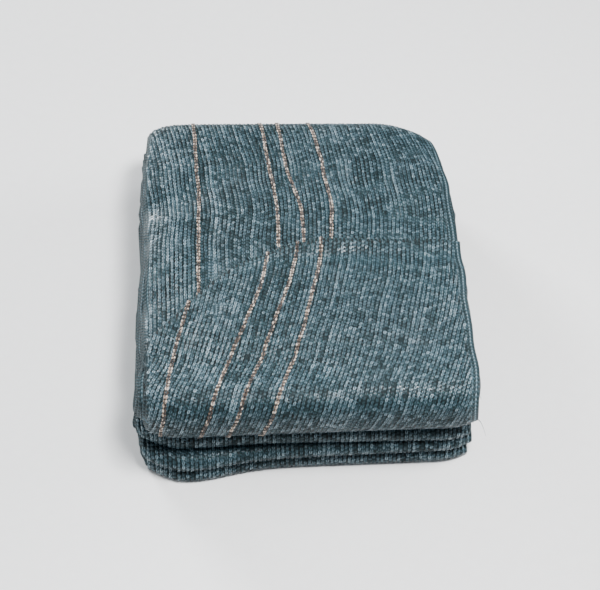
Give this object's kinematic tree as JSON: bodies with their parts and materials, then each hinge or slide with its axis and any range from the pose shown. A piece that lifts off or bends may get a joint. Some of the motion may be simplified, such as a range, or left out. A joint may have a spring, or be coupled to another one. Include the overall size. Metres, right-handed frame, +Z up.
{
  "type": "folded shade netting",
  "caption": "Length of knitted shade net folded into a soft flat bale, with twisted marker yarns running along it.",
  "frame": {"origin": "under the middle of the bale, on the surface it lies on", "axes": "+Z up, +Y from the open front folds to the big fold at the back, along the net's length, +X to the right across the band"},
  "size_m": [0.338, 0.4112, 0.1153],
  "materials": {
    "net": "open knit of flat plastic tape, dark teal green with a slight sheen",
    "marker_yarn": "matt yarn, brown twisted with white"
  },
  "bodies": {
    "root": {"netting": "net", "marker_yarn_a_front": "marker_yarn", "marker_yarn_b_front": "marker_yarn", "marker_yarn_c_front": "marker_yarn", "marker_yarn_d_front": "marker_yarn", "marker_yarn_a_back": "marker_yarn", "marker_yarn_b_back": "marker_yarn", "marker_yarn_c_back": "marker_yarn", "marker_yarn_d_back": "marker_yarn"}
  },
  "joints": []
}
